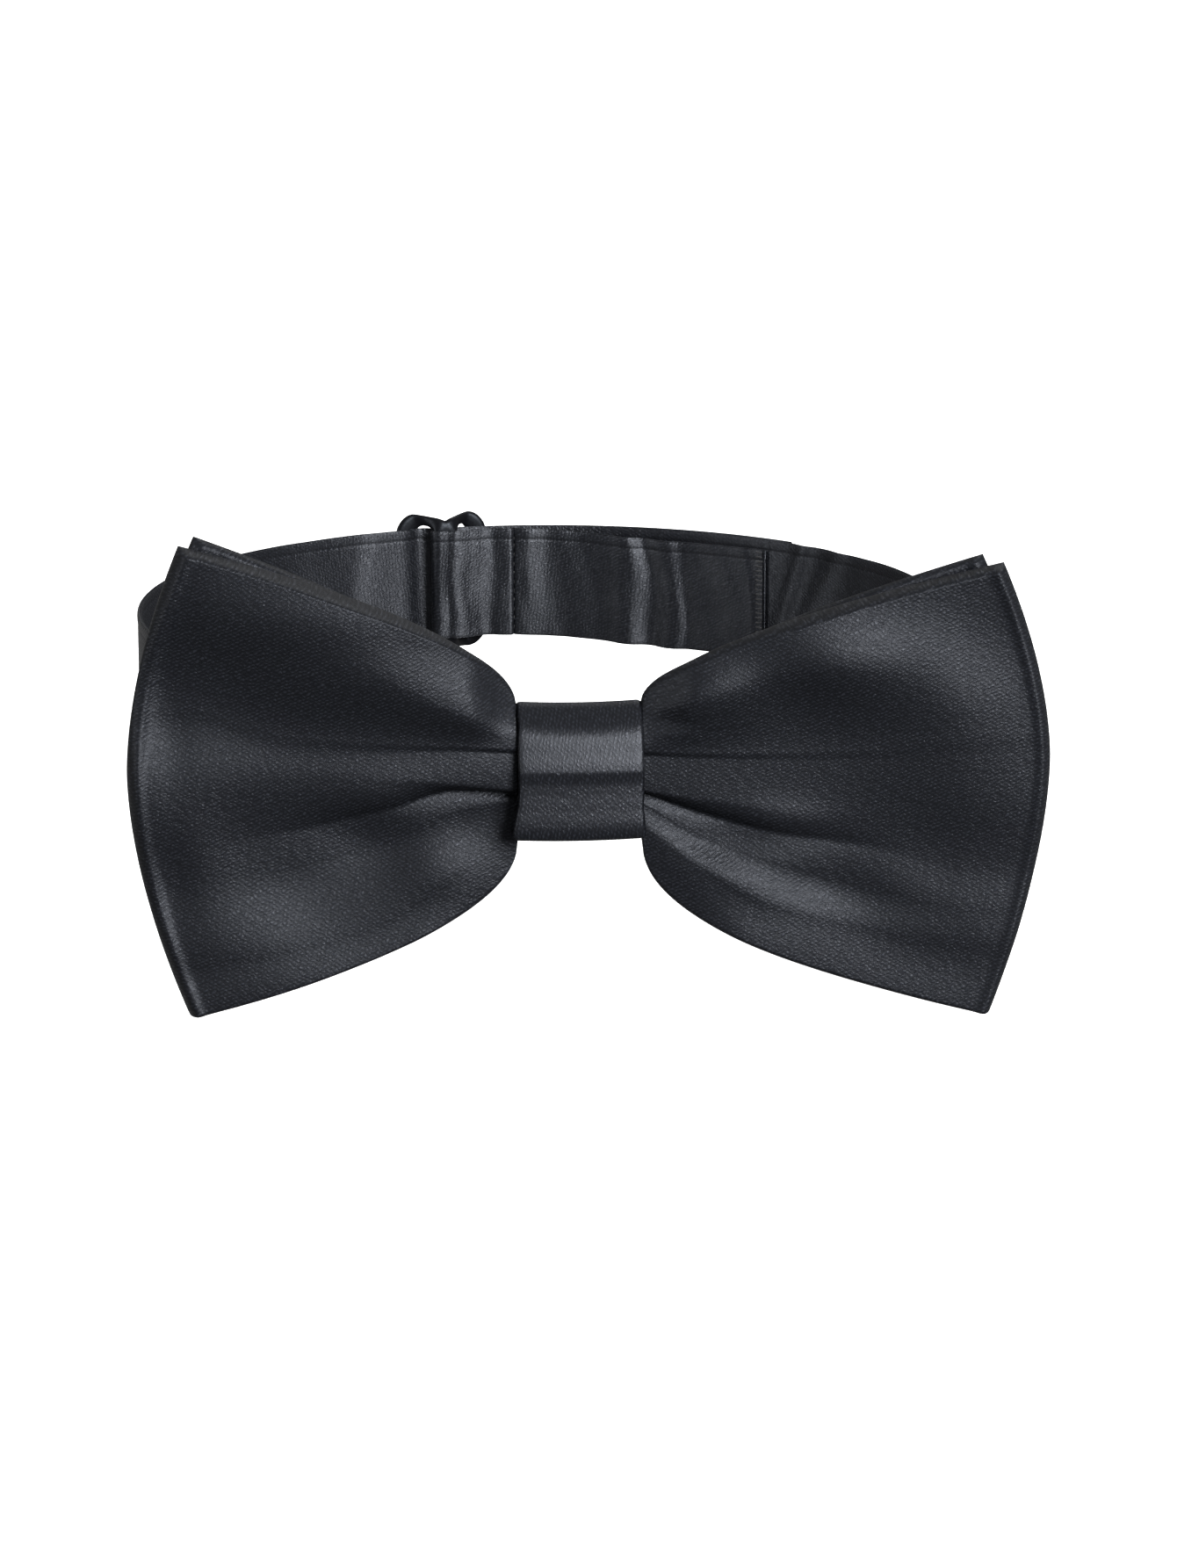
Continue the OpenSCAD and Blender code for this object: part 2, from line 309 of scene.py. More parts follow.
def sewing_thread(name):
    """Twisted black thread."""
    n = Nodes(name)
    place = n.new("ShaderNodeTexCoord").outputs["Object"]
    wave = n.new("ShaderNodeTexWave", bands_direction="DIAGONAL")
    n.put(place, wave.inputs["Vector"])
    n.put(2500.0, wave.inputs["Scale"])
    twist = n.mix(wave.outputs["Fac"], (0.003, 0.003, 0.004, 1), (0.012, 0.013, 0.016, 1))
    n.put(twist, n.shader.inputs["Base Color"])
    n.shader.inputs["Roughness"].default_value = 0.45
    n.shader.inputs["Sheen Weight"].default_value = 0.15
    return n.material


def studio_floor(name):
    """A matt white floor, lit from within so that it stays white."""
    n = Nodes(name)
    place = n.new("ShaderNodeTexCoord").outputs["Object"]
    cloud = n.noise(place, 0.6, 1.0)
    n.put(n.mix(cloud, (0.93, 0.93, 0.93, 1), (0.96, 0.96, 0.96, 1)), n.shader.inputs["Base Color"])
    n.shader.inputs["Roughness"].default_value = 0.9
    n.shader.inputs["Specular IOR Level"].default_value = 0.1
    n.shader.inputs["Emission Color"].default_value = (1, 1, 1, 1)
    n.shader.inputs["Emission Strength"].default_value = 0.9
    return n.material


# the satin's own black, and the lighter colour painted in where glints of light stand
BLACK = (0.0034, 0.0037, 0.0048, 1)
PAINTED_GLINT = (0.015, 0.0165, 0.021, 1)
COOL_SHINE = (0.86, 0.9, 1.0, 1)
WING_SATIN = satin("wing_satin", pitch=0.46, lean=-24, relief=0.038,
                   roughness=0.4, stretch=0.2, turned=0, shine=0.19)
KNOT_SATIN = satin("knot_satin", pitch=0.48, lean=80, relief=0.026,
                   roughness=0.38, stretch=0.7, turned=0, shine=0.26)
STRAP_SATIN = satin("strap_satin", pitch=0.46, lean=28, relief=0.042,
                    roughness=0.42, stretch=0.85, turned=0.25, shine=0.47)
PLASTIC = moulded_plastic("moulded_plastic")
THREAD = sewing_thread("sewing_thread")

# ---------------------------------------------------------------- wings

# how far out the knot ends and the wings start inside it
KNOT_EDGE = KNOT_W / 2
WAIST = 8.2
# how far the middle of each tier's thickness is before the middle of the neck
FRONT_MIDDLE = KNOT_BACK + 3.7
REAR_MIDDLE = KNOT_BACK + 1.1

# Each fold line of a wing, from the bottom up: heights z of the line, then how far it stands forward, at the
# STATIONS, which are distances out from the knot. A low and a high line close together are a lapped edge.
STATIONS = [0, 8, 17, 28, 42]
LEFT_FOLDS = [
    ([-8.5, -14, -20, -23, -25], [0.5, 1.6, 2.7, 2.5, 2.1]),
    ([-4.4, -5.6, -9.5, -12, -14], [0.0, 0.5, 0.9, 1.6, 2.1]),
    ([-3.6, -3.0, -5.2, -7.5, -9], [-0.9, -0.6, 0.2, 1.2, 2.0]),
    ([-3.0, -1.8, -0.8, -0.2, 0.5], [0.9, 1.5, 1.8, 2.0, 2.2]),
    ([2.1, 2.7, 2.9, 3.3, 7], [0.3, 0.9, 1.3, 1.7, 2.1]),
    ([2.7, 3.4, 4.0, 5.2, 9], [0.8, 1.2, 1.5, 1.8, 2.2]),
    ([5.5, 8.5, 13, 17, 22], [1.5, 3.0, 3.7, 3.5, 2.7]),
]
RIGHT_FOLDS = [
    ([-8.5, -14, -19, -22, -25], [0.5, 1.7, 2.6, 2.7, 2.6]),
    ([-5.2, -9.8, -13.2, -16.5, -20], [-0.2, 0.4, 1.1, 1.8, 2.3]),
    ([-3.8, -6.8, -9.2, -11, -14], [-0.9, -0.6, 0.1, 1.0, 2.0]),
    ([-3.2, -4.6, -5.6, -6.2, -6.5], [0.8, 1.15, 1.2, 1.45, 2.0]),
    ([1.5, 1.1, 0.7, 0.5, 1.5], [0.3, 0.9, 1.1, 1.4, 2.0]),
    ([2.1, 1.8, 1.7, 2.0, 4], [0.8, 1.2, 1.3, 1.55, 2.1]),
    ([6.2, 9.5, 12, 13.5, 15], [1.5, 3.1, 3.7, 3.5, 3.0]),
]

# Soft swells of a wing: distance out from the middle, height z, half-width, half-height, how steeply the
# cloth there leans back as it rises, and how steeply as it goes outwards
LEFT_SWELLS = [
    (37, -20, 18, 9, 0.27, -0.14),
    (16.5, -11, 9, 5.5, 0.26, -0.18),
    (27, -6.5, 7, 4, -0.3, 0.1),
    (54, -11, 6, 7, -0.15, 0.15),
    (27, -14, 7, 6, 0.18, -0.06),
    (44, 16, 16, 10, -0.22, 0.2),
    (33, 19, 10, 5, -0.25, 0.1),
    (48, 3, 10, 5, 0.14, 0),
    (56, 4, 4, 12, 0.1, -0.12),
    (56, 23, 4, 9, 0, -0.24),
    (56, -14, 4, 9, 0, -0.2),
]
RIGHT_SWELLS = [
    (53, 11, 10, 8.5, 0.25, 0.12),
    (29, 12.5, 9, 6, -0.3, -0.2),
    (27, -15, 8, 5, -0.1, 0.1),
    (23, -8.8, 7, 3, -0.35, -0.15),
    (48, -8, 12, 8, -0.15, -0.1),
    (48, -25, 12, 7, -0.1, -0.1),
    (17, 14.5, 6, 5, 0.35, 0),
    (12, 5.2, 3, 1.3, 0.4, 0),
    (39, -16, 7, 6, -0.15, -0.1),
]


class Wing:
    """One wing of a tier. side is -1 for the left.

    reach is how far out its end bulges, and each tip is how far out and how high or low a corner lies.
    top and bottom are the half-height at the waist and the power of the edge's curve.
    """

    def __init__(self, side, reach, top_tip, bottom_tip, folds, swells, top, bottom):
        self.side, self.reach, self.folds, self.swells = side, reach, folds, swells
        self.top_tip, self.bottom_tip = top_tip, bottom_tip
        self.top_waist, self.top_power = top
        self.bottom_waist, self.bottom_power = bottom

    def edges(self, u):
        """How far the top edge is above the middle and the bottom edge below it, at a share u out."""
        up = self.top_waist + (self.top_tip[1] - self.top_waist) * u**self.top_power
        down = self.bottom_waist + (self.bottom_tip[1] - self.bottom_waist) * u**self.bottom_power
        return up, down

    def place(self, u, v):
        """x and z at a share u out from the waist and v of the half-height, and x at the wing's end there."""
        tip = np.where(v > 0, self.top_tip[0], self.bottom_tip[0])
        end = self.reach - (self.reach - tip) * np.abs(v) ** 1.75
        up, down = self.edges(u)
        return WAIST + (end - WAIST) * u, np.where(v > 0, v * up, v * down), end

    def relief(self, x, z, up, down):
        """How far the front stands forward at x, z: round-crested pleats with sharp valleys, and swells."""
        out = np.clip(x - KNOT_EDGE, 0, None)
        top_edge = 0.3 + 2.2 * smooth(out / 14)
        low_edge = 0.3 + 2.9 * smooth(out / 14) + 0.5 * smooth((out - 20) / 20)
        lines = [(-down, low_edge)]
        lines += [(curve(STATIONS, zs, out), curve(STATIONS, hs, out)) for zs, hs in self.folds]
        lines += [(up, top_edge)]

        # a line is a valley by as much as it lies below both its neighbours
        heights = [h for _, h in lines]
        depths = [np.minimum(a - b, c - b) for a, b, c in zip(heights, heights[1:], heights[2:])]
        valleys = [smooth(depth / 0.5) for depth in [-low_edge, *depths, -top_edge]]

        # each line's step is soft beside a crest, sharp beside a valley, and more even where the gap is small
        total = lines[0][1].copy()
        for (z0, h0), (z1, h1), below, above in zip(lines, lines[1:], valleys, valleys[1:]):
            gap = np.maximum(z1 - z0, 0.05)
            t = np.clip((z - z0) / gap, 0, 1)
            sharp = np.where(h1 > h0, t * (2 - t), t * t)
            steady = 0.5 * (1 - smooth((gap - 2) / 3))
            sharp += (t - sharp) * steady
            total += (h1 - h0) * (smooth(t) + (sharp - smooth(t)) * np.where(h1 > h0, below, above))
        for x0, z0, width, height, lean_up, lean_out in self.swells:
            slope = lean_up * (z - z0) + lean_out * (x - x0)
            total -= slope * bump(x, x0, width) * bump(z, z0, height)
        return total


def wing_skins(wing, middle, back_depth, rows, cols, flat, tuck):
    """Front and back skins of one wing as (rows, cols, 3) grids, from the knot outwards.

    back_depth is how far the back lies behind the middle of the tier's thickness. flat is the share of the
    relief that shows, and tuck is how far the knot pulls the cloth back at its top.
    """
    # rows are closer together at the knot and at the wing's end
    u = np.linspace(0, 1, rows) ** 1.15
    u = 1 - (1 - u) ** 1.35
    u, v = np.meshgrid(u, crowded(cols, 0.9), indexing="ij")
    x, z, end = wing.place(u, v)
    up, down = wing.edges(u)
    forward = wing.relief(x, z, up, down) * flat

    # the turned edge stands up a little just inside the wing's end, and all edges are round
    side_gap, end_gap = (1 - np.abs(v)) * np.where(v > 0, up, down), end - x
    roll = 0.35 * bump(end_gap, 1.5, 0.7) * smooth(x / 20)
    round_off = rim(side_gap, 0.8) * rim(end_gap, 1.4)
    middle = middle - tuck * smooth((z - 2.5) / 5) * (1 - smooth((x - WAIST) / 7))
    front = middle + (0.4 + forward + roll) * round_off
    back = middle - back_depth * round_off
    x = x * wing.side
    return np.stack([x, -front, z], -1), np.stack([x, -back, z], -1)


def tier(name, left, right, middle, back_depth, rows, cols, flat, tuck):
    """Both wings and the waist between them, as one closed skin."""
    skins = []
    for side in (0, 1):
        halves = [wing_skins(w, middle, back_depth, rows, cols, flat, tuck)[side] for w in (left, right)]
        # inside the knot both wings are drawn in and gathered to a lower, flat waist
        inside = max(middle - 0.8, KNOT_BACK + 0.9) + 0.3 - 0.6 * side
        gathered = [half[:1] * (0.86, 0, 0.6) - (0, inside, 0) for half in halves]
        skins.append(np.concatenate([halves[0][::-1], gathered[0], gathered[1], halves[1]]))
    count = 2 * rows + 2
    points = np.concatenate([s.reshape(-1, 3) for s in skins])
    faces = np.concatenate([grid_faces(count, cols), grid_faces(count, cols, flip=True, start=count * cols)])
    obj = mesh_object(name, points, faces, WING_SATIN, points[:, [0, 2]])
    weld(obj)
    return obj


left_front = Wing(-1, 59.2, (52.0, 30.3), (51.5, 32.6), LEFT_FOLDS, LEFT_SWELLS,
                  top=(7.9, 0.55), bottom=(10.0, 0.48))
right_front = Wing(1, 62.2, (55.6, 26.4), (54.4, 34.7), RIGHT_FOLDS, RIGHT_SWELLS,
                   top=(8.1, 0.57), bottom=(10.2, 0.46))
left_rear = Wing(-1, 57.8, (50.0, 31.0), (50.0, 31.0), LEFT_FOLDS, LEFT_SWELLS,
                 top=(7.0, 0.66), bottom=(9.5, 0.48))
right_rear = Wing(1, 60.4, (53.2, 27.0), (52.8, 32.8), RIGHT_FOLDS, RIGHT_SWELLS,
                  top=(7.0, 0.65), bottom=(9.5, 0.46))

front_tier = tier("front_tier", left_front, right_front, FRONT_MIDDLE,
                  back_depth=0.6, rows=150, cols=200, flat=1.0, tuck=2.3)
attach(front_tier, "bow")
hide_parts("front_bow", "front_interlining")

rear_tier = tier("rear_tier", left_rear, right_rear, REAR_MIDDLE,
                 back_depth=1.0, rows=90, cols=110, flat=0.35, tuck=0.9)
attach(rear_tier, "bow")
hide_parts("rear_bow", "rear_interlining")

# ---------------------------------------------------------------- knot

# The band's section, from the middle of its back upwards: how far forward of the back, and height z. The
# cloth turns over at the top and comes forward as it goes down, with a crease a little below the middle.
KNOT_SECTION = [
    (0, 0), (0, 3.5), (0, 6.8), (0.4, 7.9), (1.2, 8.3), (2.1, 8.05), (3.2, 7.3), (4.1, 6.4), (4.75, 5.6),
    (5.3, 4.6), (6.0, 2.3), (6.52, 0.5), (6.66, -0.3), (6.64, -0.9), (6.62, -1.5), (6.72, -2.6), (7.04, -4.8),
    (7.38, -7.6), (7.28, -8.6), (6.5, -9.15), (3.0, -9.3), (0.8, -9.0), (0.1, -8.2), (0, -6.5), (0, -3),
]
KNOT_WALL = 0.6


def knot():
    """The band round the middle: a ring of stations round the section, swept across the width."""
    around, across = 240, 48
    middle = (KNOT_FRONT + KNOT_BACK) / 2
    section = np.array(KNOT_SECTION + KNOT_SECTION[:1])
    run = run_along(section)
    even = np.linspace(0, run[-1], around, endpoint=False)
    forward, tt = np.meshgrid(curve(run, section[:, 0], even), np.linspace(-1, 1, across), indexing="ij")
    zz = np.repeat(curve(run, section[:, 1], even)[:, None], across, axis=1)

    # it widens and leans left towards the bottom, and its front bulges and its edges sag in the middle
    half_w = KNOT_W / 2 - 0.15 + 0.5 * smooth((-zz - 4) / 5)
    x = tt * half_w - 0.35 * smooth((-zz - 2) / 7)
    yy = KNOT_BACK - middle + forward + smooth((forward - 3) / 3) * 0.35 * (1 - tt**2)
    zz = zz - 0.25 * (1 - tt**2) * smooth(zz / 5) - 0.15 * (1 - tt**2) * smooth(-zz / 5)

    # the inner skin lies a wall's thickness inside the outer one, and they meet at the sides
    outer = np.stack([x, -middle - yy, zz], -1)
    centre = np.array([0, -middle, 0])
    shrink = 1 - KNOT_WALL / np.linalg.norm((outer - centre)[..., 1:], axis=-1, keepdims=True)
    inner = outer.copy()
    inner[..., 1:] = centre[1:] + (outer[..., 1:] - centre[1:]) * shrink
    lip = np.clip((np.abs(tt) - 0.93) / 0.07, 0, 1)[..., None] ** 2
    mid = (outer + inner) / 2
    outer, inner = outer + (mid - outer) * lip, inner + (mid - inner) * lip
    points = np.concatenate([outer.reshape(-1, 3), inner.reshape(-1, 3)])

    # the grids above are stored section by section, so turn them to run across first
    ring = grid_faces(across, around, closed=True)
    order = np.arange(around * across).reshape(around, across).T.ravel()
    faces = np.concatenate([order[ring], order[ring][:, ::-1] + around * across])
    round_it = np.repeat(run_along(outer[:, 0])[:, None], across, axis=1)
    uv = np.stack([x, round_it], -1).reshape(-1, 2)
    obj = mesh_object("knot_cover", points, faces, KNOT_SATIN, np.concatenate([uv, uv]))
    weld(obj)
    return obj


knot_cover = knot()
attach(knot_cover, "bow")
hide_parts("knot_band", "knot_lining")

# ---------------------------------------------------------------- neck strap

# GATHERED is the share of the strap's width that the keeper takes up. The short strap turns round the slide's
# bar at BAR_R from the middle of the neck. CRUMPLE is the height of the flap's small dents.
HEM_BELOW_EDGE = 1.6
GATHERED = 0.22
BAR_R = 55.7
CRUMPLE = 0.13
FAR_END = 180.0

# The flap's wrinkles: a bearing, and how far the flap stands in towards the neck there
FLAP_WRINKLES = [
    (-11.6, 1.2), (-10.4, 1.5), (-7.5, 0.85), (-5.4, 0.25), (-4.4, 0.15), (-1.3, 0.75), (-0.8, 0),
    (-0.4, 0.4), (0.6, 0.5), (4.6, 0.12), (12, 0.35), (14.6, 0.7), (17.2, 1.3), (17.8, 1.3),
    (21.4, 0.15), (24.4, 0.9), (25, 0.9), (27.2, 0.2), (33, 0.3), (38, 0.3), (39.2, 0), (41, 0),
]


def ribbon(name, centre, heights, level, thick, material):
    """A band of cloth with a hem line. centre is a (rows, columns, 2) grid of points seen from above.

    heights has one flat height for each column, and level is the grid of heights that the points really have.
    """
    rows, columns = centre.shape[:2]
    step = np.gradient(centre, axis=0)
    step /= np.linalg.norm(step, axis=-1, keepdims=True)
    left = np.stack([-step[..., 1], step[..., 0]], -1)

    # a groove at the hem line, a thicker hem above it, and round edges
    hem = heights[-1] - HEM_BELOW_EDGE
    half = thick / 2 * (1 - 0.45 * bump(heights, hem, 0.22) + 0.25 * smooth((heights - hem) / 0.5))
    edge_t = (heights - heights[0]) * (heights[-1] - heights)
    half = half * np.clip(edge_t / (edge_t.max() * 0.06), 0.05, 1) ** 0.5
    skins = []
    for sign in (1, -1):
        flat = centre + sign * left * half[None, :, None]
        skins.append(np.concatenate([flat, level[..., None]], -1).reshape(-1, 3))

    # both faces, and a strip round the border that closes them
    count = rows * columns
    front = grid_faces(rows, columns)
    back = grid_faces(rows, columns, flip=True, start=count)
    index = np.arange(count).reshape(rows, columns)
    border = np.concatenate([index[:, 0], index[-1, 1:], index[-2::-1, -1], index[0, -2:0:-1]])
    after = np.roll(border, -1)
    sides = np.stack([border, border + count, after + count, after], -1)
    faces = np.concatenate([front, back, sides])
    along = run_along(centre[:, columns // 2])
    uv = np.stack(np.broadcast_arrays(along[:, None], heights[None, :]), -1).reshape(-1, 2)
    return mesh_object(name, np.concatenate(skins), faces, material, np.concatenate([uv, uv]))


def strap_heights():
    """Heights across the strap, closer together at its edges and at the hem line."""
    by_hem = 1 - (HEM_BELOW_EDGE + np.array([-0.3, -0.15, 0.15, 0.3])) / (STRAP_W / 2)
    return np.sort(np.concatenate([crowded(46, 0.8), by_hem])) * STRAP_W / 2


def off_tack(b):
    """0 at the row of stitches that holds the flap down, and 1 away from it and from the flap's end."""
    return smooth((np.abs(b - TACK_BEARING) - 0.5) / 2) * smooth((38 - b) / 4)


def flap_radius(b, z):
    """How far out the wrinkled flap lies at a bearing and a height. The creases lean and bow with height."""
    b = b + 0.9 * (z / 8) ** 2 * smooth((b - 4) / 8) + 0.08 * z * smooth((b - 14) / 8)
    b = b + 0.25 * np.sin(0.4 * z + 0.5 * b) * off_tack(b)
    crumple = 1 + np.sin(0.5 * z + 0.35 * b + 0.7) * np.sin(0.62 * b - 0.25 * z)
    crumple *= CRUMPLE * smooth((b - BAR_BEARING) / 3) * off_tack(b)
    bearings, rise = zip(*FLAP_WRINKLES)
    return FLAP_R - curve(bearings, rise, b) - crumple


def strap_level(b, z):
    """The strap rides up a little round the back of the neck, and the keeper gathers it at the front."""
    gathered = GATHERED * smooth((np.abs(b) - 130) / 26)
    return z * (1 - gathered) + 0.5 * smooth((120 - np.abs(b)) / 60)


def flap_drop(b):
    """The flap hangs lower than the layers behind it, more so towards its end."""
    return -1.5 * smooth((b + 4) / 32)


def right_radius(b, z):
    """The short strap beyond the flap, with soft creases where it comes out from under the flap's end."""
    rise = 0.42 * bump(b, 44.5 + 0.35 * z, 1.6) + 0.5 * bump(b, 50 + 0.6 * z, 2.4) + 0.25 * bump(b, 60, 4)
    return LOOP_R - rise


def short_strap():
    """Flap, turn round the bar, and the run to the front of the neck, in one piece."""
    z = strap_heights()
    flap_b = np.linspace(FLAP_END, BAR_BEARING, 260)[:, None]
    flap = polar(flap_b + 0 * z, flap_radius(flap_b, z + 0 * flap_b))

    # half a turn round the bar, from the flap's radius out to the loop's
    turn_b = BAR_BEARING - math.degrees(0.9 / LOOP_R)
    a = np.radians(np.linspace(180, 0, 15))[1:-1]
    flap_at_bar = flap_radius(np.array([[BAR_BEARING]]), np.array([[0.0]]))[0, 0]
    reach = np.where(np.cos(a) < 0, BAR_R - flap_at_bar, LOOP_R - BAR_R)
    out = polar(turn_b, 1)
    side = np.array([-math.cos(math.radians(turn_b)), math.sin(math.radians(turn_b))])
    beyond = 1.05
    turn = polar(turn_b, BAR_R) + (reach * np.cos(a))[:, None] * out + np.sin(a)[:, None] * beyond * side
    turn = np.repeat(turn[:, None], len(z), axis=1)

    parts = [np.linspace(BAR_BEARING, 40, 60), np.linspace(40.3, 75, 110), np.linspace(76, FAR_END - 0.4, 80)]
    run_b = np.concatenate(parts)[:, None]
    run = polar(run_b + 0 * z, right_radius(run_b, z + 0 * run_b))
    flap_level = strap_level(flap_b, z) + flap_drop(flap_b)
    turn_level = strap_level(np.full((len(turn), 1), turn_b), z)
    level = np.concatenate([flap_level, turn_level, strap_level(run_b, z)])
    return ribbon("short_strap", np.concatenate([flap, turn, run]), z, level, STRAP_T, STRAP_SATIN)


def run_radius(b):
    """The long strap moves out by one layer on its way round the left side."""
    return LOOP_R + LAYER * smooth((b + 155) / 85)


def long_strap():
    """From the front of the neck round the left side, through the slide, to the free end."""
    z = strap_heights()
    parts = [np.linspace(-FAR_END, -60, 90), np.linspace(-59, -10, 150), np.linspace(-9, TAIL_END, 60)]
    b = np.concatenate(parts)[:, None]
    zz = z + 0 * b

    # a dip beside the slide and soft folds to the left of it
    dip = 0.8 * bump(b, -14.8 - 0.03 * zz, 1.8)
    ease = 0.15 * bump(b, -22.5, 3) + 0.2 * bump(b, -31 - 0.3 * zz, 3.5)
    ease = ease - 0.15 * bump(b, -26 + 0.2 * zz, 2)
    r = run_radius(b) + dip - ease

    # a little thinner than the other half, so that the layers stay apart
    thick = STRAP_T - 0.08
    return ribbon("long_strap", polar(b + 0 * z, r), z, strap_level(b, z), thick, STRAP_SATIN)


short_piece = short_strap()
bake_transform(short_piece)
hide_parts("right_strap", "folded_strap_end", "right_interlining")

long_piece = long_strap()
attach(long_piece, "neck_band")
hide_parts("left_strap", "left_interlining")

# ---------------------------------------------------------------- slide


def sweep(path, section, wide, deep):
    """A closed ring: a section of points from -1 to 1 carried round a closed path of (along, height, radius).

    The bars that stand up are wide across and the rails that lie level are a little narrower.
    """
    path = np.asarray(path, float)
    step = np.roll(path, -1, axis=0) - np.roll(path, 1, axis=0)
    step /= np.linalg.norm(step, axis=1, keepdims=True)
    radial = np.array([0, 0, 1.0])
    sideways = np.cross(step, radial)
    width = wide * (0.85 + 0.15 * np.abs(step[:, 1])) / 2
    points = path[:, None] + section[None, :, :1] * (sideways * width[:, None])[:, None]
    points = points + section[None, :, 1:] * radial * deep / 2
    rows, columns = points.shape[:2]
    i, j = np.meshgrid(np.arange(rows), np.arange(columns), indexing="ij")
    near, far = (j + 1) % columns, (i + 1) % rows
    faces = np.stack([i * columns + j, i * columns + near, far * columns + near, far * columns + j], -1)
    return points.reshape(-1, 3), faces.reshape(-1, 4)


# width, height and corner radius of a ring's middle line, and how far its middle is from the bar both share
RING_W, RING_H, RING_CORNER = 5.2, 19.0, 2.4
RING_SHIFT = 2.85
# how far that bar is from the middle of the neck, how much further the outer bars are, and how high all sits
SLIDE_R = 55.65
SLIDE_BOW = 3.1
SLIDE_LIFT = 0.5
# how wide and how deep the plastic is
PLASTIC_W, PLASTIC_D = 2.9, 1.25


def slide():
    """Two rounded rings side by side, bowed so that the bar they share lies nearer the neck."""
    corners = [(1, 1, 0), (-1, 1, 90), (-1, -1, 180), (1, -1, 270)]
    a = np.linspace(0, 2 * math.pi, 12, endpoint=False)
    section = np.stack(rounded_square(a, 0.7), -1)
    points, faces, count = [], [], 0
    for side in (-1, 1):
        path = []
        for sx, sz, start in corners:
            for turn in np.radians(np.linspace(start, start + 90, 8)):
                x = sx * (RING_W / 2 - RING_CORNER) + RING_CORNER * math.cos(turn) + side * RING_SHIFT
                z = sz * (RING_H / 2 - RING_CORNER) + RING_CORNER * math.sin(turn) + SLIDE_LIFT
                path.append((x, z))
        x, z = dense_loop(np.array(path), 0.5).T
        r = SLIDE_R + SLIDE_BOW * smooth((np.abs(x) - 0.6) / 3.6)
        ring, quads = sweep(np.stack([x, z, r], -1), section, PLASTIC_W, PLASTIC_D)
        points.append(ring)
        faces.append(quads + count)
        count += len(ring)
    points = np.concatenate(points)
    world = polar(BAR_BEARING + np.degrees(points[:, 0] / LOOP_R), points[:, 2])
    obj = mesh_object("slide_body", np.column_stack([world, points[:, 1]]), np.concatenate(faces), PLASTIC)
    return melt(obj, voxel=0.16, rounds=6)


def dense_loop(path, gap):
    """The same closed path with points about a gap apart."""
    closed = np.vstack([path, path[:1]])
    run = run_along(closed)
    t = np.linspace(0, run[-1], int(run[-1] / gap), endpoint=False)
    return np.stack([np.interp(t, run, closed[:, k]) for k in range(2)], -1)


def melt(obj, voxel, rounds):
    """Joins overlapping closed shapes into one skin of small voxels and rounds its edges."""
    remesh = obj.modifiers.new("remesh", "REMESH")
    remesh.mode = "VOXEL"
    remesh.voxel_size = voxel * MM
    relax = obj.modifiers.new("relax", "SMOOTH")
    relax.factor = 0.5
    relax.iterations = rounds
    shape = bpy.data.meshes.new_from_object(obj.evaluated_get(bpy.context.evaluated_depsgraph_get()))
    shape.polygons.foreach_set("use_smooth", [True] * len(shape.polygons))
    obj.modifiers.clear()
    obj.data = shape
    return obj


slide_piece = slide()
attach(slide_piece, "slide")
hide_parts("slide_buckle")

# ---------------------------------------------------------------- keeper behind the knot

# half the keeper's width in degrees round the neck, its wall, and its room above and below the gathered strap
KEEPER_HALF = 7
KEEPER_WALL = 0.3
KEEPER_ROOM = 0.45


def keeper():
    """A flat loop of cloth that the strap runs through, sewn to the back of the knot."""
    rows, cols = 40, 96
    near, far = LOOP_R - HALF_T - 0.8, -node_box("strap_keeper")[0][1]
    mid_r, half_r = (near + far) / 2, (far - near) / 2
    half_h = STRAP_W / 2 * (1 - GATHERED) + KEEPER_ROOM
    ring_r, ring_z = rounded_square(np.linspace(0, 2 * math.pi, cols, endpoint=False), 0.24)
    spread = np.linspace(-1, 1, rows)[:, None]

    # the outer and the inner skin, which meet at the loop's two ends
    lip = np.clip((np.abs(spread) - 0.92) / 0.08, 0, 1) ** 2
    skins = []
    for inset in (0, KEEPER_WALL):
        pull = inset + (KEEPER_WALL / 2 - inset) * lip
        r = mid_r + ring_r * (half_r - pull)
        z = ring_z * (half_h - pull)
        flat = polar(180 + spread * KEEPER_HALF + 0 * r, r)
        skins.append(np.concatenate([flat, z[..., None]], -1).reshape(-1, 3))
    outside = grid_faces(rows, cols, closed=True)
    inside = grid_faces(rows, cols, closed=True, flip=True, start=rows * cols)
    round_it = run_along(np.stack([ring_r * half_r, ring_z * half_h], -1))
    uv = np.stack(np.broadcast_arrays(spread * KEEPER_HALF, round_it[None, :]), -1).reshape(-1, 2)
    faces = np.concatenate([outside, inside])
    obj = mesh_object("keeper_loop", np.concatenate(skins), faces, STRAP_SATIN, np.concatenate([uv, uv]))
    weld(obj)
    return obj


keeper_piece = keeper()
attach(keeper_piece, "bow")
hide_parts("strap_keeper")

# ---------------------------------------------------------------- stitches

THREAD_R = 0.13


